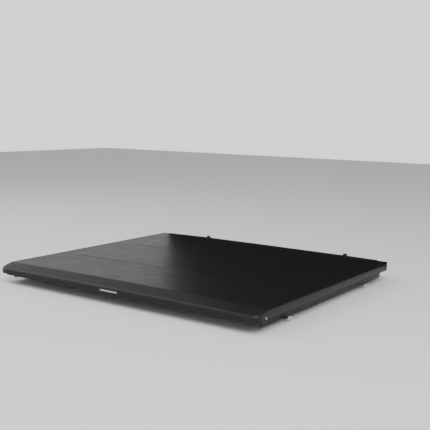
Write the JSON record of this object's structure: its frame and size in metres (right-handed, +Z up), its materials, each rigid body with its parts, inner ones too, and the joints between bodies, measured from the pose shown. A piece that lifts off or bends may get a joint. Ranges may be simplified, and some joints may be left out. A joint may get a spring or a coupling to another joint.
{
  "type": "roll-up tonneau cover",
  "caption": "Soft roll-up tonneau cover for a pickup bed: vinyl sheet on clamped side rails and crossbows, rolling up towards the cab.",
  "frame": {"origin": "centre of the bounding box in plan, on the plane of the clamp bolt heads, 56 mm below the top of the bed rails", "axes": "+X to the vehicle's right, across the bed; +Y forward, towards the cab; +Z up"},
  "size_m": [1.72, 1.48, 0.1257],
  "materials": {
    "sheet_vinyl": "satin coated vinyl, fine grain",
    "rail_coat": "satin black powder coat",
    "bare_aluminium": "mill finish, brushed along its length",
    "zinc_steel": "zinc plated",
    "seal_rubber": "matt foam rubber",
    "moulded_plastic": "fine moulded texture",
    "webbing": "woven nylon",
    "woven_label": "woven, blank"
  },
  "bodies": {
    "rail_frame": {"header_rail": "rail_coat", "header_seal": "seal_rubber", "front_clamp_strip": "rail_coat", "tarp_front": "sheet_vinyl", "rail_left": "rail_coat", "rail_seal_left": "seal_rubber", "hook_strip_left": "webbing", "rear_corner_cap_left": "moulded_plastic", "rear_cap_screw_left": "zinc_steel", "front_corner_cap_left": "moulded_plastic", "corner_bracket_left": "bare_aluminium", "storage_strap_left": "webbing", "strap_buckle_left": "moulded_plastic", "clamp_bracket_left_rear": "bare_aluminium", "clamp_bracket_left_front": "bare_aluminium", "rail_right": "rail_coat", "rail_seal_right": "seal_rubber", "hook_strip_right": "webbing", "rear_corner_cap_right": "moulded_plastic", "rear_cap_screw_right": "zinc_steel", "front_corner_cap_right": "moulded_plastic", "corner_bracket_right": "bare_aluminium", "storage_strap_right": "webbing", "strap_buckle_right": "moulded_plastic", "clamp_bracket_right_rear": "bare_aluminium", "clamp_bracket_right_front": "bare_aluminium"},
    "panel_01": {"tarp_panel_01": "sheet_vinyl"},
    "panel_02": {"tarp_panel_02": "sheet_vinyl"},
    "panel_03": {"tarp_panel_03": "sheet_vinyl"},
    "panel_04": {"tarp_panel_04": "sheet_vinyl"},
    "panel_05": {"tarp_panel_05": "sheet_vinyl"},
    "panel_06": {"tarp_panel_06": "sheet_vinyl"},
    "panel_07": {"tarp_panel_07": "sheet_vinyl"},
    "panel_08": {"tarp_panel_08": "sheet_vinyl"},
    "panel_09": {"tarp_panel_09": "sheet_vinyl"},
    "sheet_tail": {"tarp_panel_10": "sheet_vinyl", "rear_bar": "bare_aluminium", "rear_skirt": "sheet_vinyl", "skirt_seal": "seal_rubber", "label_tab": "woven_label", "bar_end_block_left": "moulded_plastic", "bar_end_block_right": "moulded_plastic"},
    "latch_left": {"latch_left": "moulded_plastic"},
    "header_knob_left": {"header_knob_left": "moulded_plastic"},
    "latch_right": {"latch_right": "moulded_plastic"},
    "header_knob_right": {"header_knob_right": "moulded_plastic"},
    "bow_rear": {"bow_rear": "bare_aluminium", "bow_shoe_rear_left": "moulded_plastic", "bow_shoe_rear_right": "moulded_plastic"},
    "bow_front": {"bow_front": "bare_aluminium", "bow_shoe_front_left": "moulded_plastic", "bow_shoe_front_right": "moulded_plastic"},
    "clamp_jaw_left_rear": {"clamp_jaw_left_rear": "bare_aluminium"},
    "clamp_bolt_left_rear": {"clamp_bolt_left_rear": "zinc_steel"},
    "clamp_jaw_left_front": {"clamp_jaw_left_front": "bare_aluminium"},
    "clamp_bolt_left_front": {"clamp_bolt_left_front": "zinc_steel"},
    "clamp_jaw_right_rear": {"clamp_jaw_right_rear": "bare_aluminium"},
    "clamp_bolt_right_rear": {"clamp_bolt_right_rear": "zinc_steel"},
    "clamp_jaw_right_front": {"clamp_jaw_right_front": "bare_aluminium"},
    "clamp_bolt_right_front": {"clamp_bolt_right_front": "zinc_steel"}
  },
  "joints": [
    {"name": "roll_01", "type": "hinge", "parent": "rail_frame", "child": "panel_01", "pos_m": [0, 0.507, 0.1122], "axis": [-1, 0, 0], "range_deg": [0, 53]},
    {"name": "roll_02", "type": "hinge", "parent": "panel_01", "child": "panel_02", "pos_m": [0, 0.35124, 0.1122], "axis": [-1, 0, 0], "range_deg": [0, 53]},
    {"name": "roll_03", "type": "hinge", "parent": "panel_02", "child": "panel_03", "pos_m": [0, 0.19687, 0.1122], "axis": [-1, 0, 0], "range_deg": [0, 53]},
    {"name": "roll_04", "type": "hinge", "parent": "panel_03", "child": "panel_04", "pos_m": [0, 0.04665, 0.1122], "axis": [-1, 0, 0], "range_deg": [0, 53]},
    {"name": "roll_05", "type": "hinge", "parent": "panel_04", "child": "panel_05", "pos_m": [0, -0.09665, 0.1122], "axis": [-1, 0, 0], "range_deg": [0, 53]},
    {"name": "roll_06", "type": "hinge", "parent": "panel_05", "child": "panel_06", "pos_m": [0, -0.23026, 0.1122], "axis": [-1, 0, 0], "range_deg": [0, 53]},
    {"name": "roll_07", "type": "hinge", "parent": "panel_06", "child": "panel_07", "pos_m": [0, -0.3514, 0.1122], "axis": [-1, 0, 0], "range_deg": [0, 53]},
    {"name": "roll_08", "type": "hinge", "parent": "panel_07", "child": "panel_08", "pos_m": [0, -0.45732, 0.1122], "axis": [-1, 0, 0], "range_deg": [0, 53]},
    {"name": "roll_09", "type": "hinge", "parent": "panel_08", "child": "panel_09", "pos_m": [0, -0.54524, 0.1122], "axis": [-1, 0, 0], "range_deg": [0, 53]},
    {"name": "roll_10", "type": "hinge", "parent": "panel_09", "child": "sheet_tail", "pos_m": [0, -0.61239, 0.1122], "axis": [-1, 0, 0], "range_deg": [0, 53]},
    {"name": "latch_left_turn", "type": "hinge", "parent": "sheet_tail", "child": "latch_left", "pos_m": [-0.775, -0.635, 0.063], "axis": [0, 0, 1], "range_deg": [0, 180]},
    {"name": "header_knob_left_turn", "type": "hinge", "parent": "rail_frame", "child": "header_knob_left", "pos_m": [-0.445, 0.724, 0.111], "axis": [0, 0, -1], "range_deg": [0, 90]},
    {"name": "latch_right_turn", "type": "hinge", "parent": "sheet_tail", "child": "latch_right", "pos_m": [0.775, -0.635, 0.063], "axis": [0, 0, -1], "range_deg": [0, 180]},
    {"name": "header_knob_right_turn", "type": "hinge", "parent": "rail_frame", "child": "header_knob_right", "pos_m": [0.585, 0.724, 0.111], "axis": [0, 0, -1], "range_deg": [0, 90]},
    {"name": "bow_rear_slide", "type": "slide", "parent": "rail_frame", "child": "bow_rear", "axis": [0, 1, 0], "range_m": [-0.1, 0.1]},
    {"name": "bow_front_slide", "type": "slide", "parent": "rail_frame", "child": "bow_front", "axis": [0, 1, 0], "range_m": [-0.1, 0.1]},
    {"name": "clamp_jaw_left_rear_slide", "type": "slide", "parent": "rail_frame", "child": "clamp_jaw_left_rear", "axis": [0, 0, -1], "range_m": [0, 0.012]},
    {"name": "clamp_bolt_left_rear_turn", "type": "hinge", "parent": "clamp_jaw_left_rear", "child": "clamp_bolt_left_rear", "pos_m": [-0.8, -0.43, 0.003], "axis": [0, 0, -1], "range_deg": [0, 3460]},
    {"name": "clamp_jaw_left_front_slide", "type": "slide", "parent": "rail_frame", "child": "clamp_jaw_left_front", "axis": [0, 0, -1], "range_m": [0, 0.012]},
    {"name": "clamp_bolt_left_front_turn", "type": "hinge", "parent": "clamp_jaw_left_front", "child": "clamp_bolt_left_front", "pos_m": [-0.8, 0.43, 0.003], "axis": [0, 0, -1], "range_deg": [0, 3460]},
    {"name": "clamp_jaw_right_rear_slide", "type": "slide", "parent": "rail_frame", "child": "clamp_jaw_right_rear", "axis": [0, 0, -1], "range_m": [0, 0.012]},
    {"name": "clamp_bolt_right_rear_turn", "type": "hinge", "parent": "clamp_jaw_right_rear", "child": "clamp_bolt_right_rear", "pos_m": [0.8, -0.43, 0.003], "axis": [0, 0, -1], "range_deg": [0, 3460]},
    {"name": "clamp_jaw_right_front_slide", "type": "slide", "parent": "rail_frame", "child": "clamp_jaw_right_front", "axis": [0, 0, -1], "range_m": [0, 0.012]},
    {"name": "clamp_bolt_right_front_turn", "type": "hinge", "parent": "clamp_jaw_right_front", "child": "clamp_bolt_right_front", "pos_m": [0.8, 0.43, 0.003], "axis": [0, 0, -1], "range_deg": [0, 3460]}
  ],
  "couplings": [
    {"joint": "roll_02", "follows": "roll_01", "ratio": 1},
    {"joint": "roll_03", "follows": "roll_01", "ratio": 1},
    {"joint": "roll_04", "follows": "roll_01", "ratio": 1},
    {"joint": "roll_05", "follows": "roll_01", "ratio": 1},
    {"joint": "roll_06", "follows": "roll_01", "ratio": 1},
    {"joint": "roll_07", "follows": "roll_01", "ratio": 1},
    {"joint": "roll_08", "follows": "roll_01", "ratio": 1},
    {"joint": "roll_09", "follows": "roll_01", "ratio": 1},
    {"joint": "roll_10", "follows": "roll_01", "ratio": 1},
    {"joint": "clamp_bolt_left_rear_turn", "follows": "clamp_jaw_left_rear_slide", "rad_per_m": 5026.5},
    {"joint": "clamp_bolt_left_front_turn", "follows": "clamp_jaw_left_front_slide", "rad_per_m": 5026.5},
    {"joint": "clamp_bolt_right_rear_turn", "follows": "clamp_jaw_right_rear_slide", "rad_per_m": 5026.5},
    {"joint": "clamp_bolt_right_front_turn", "follows": "clamp_jaw_right_front_slide", "rad_per_m": 5026.5}
  ]
}
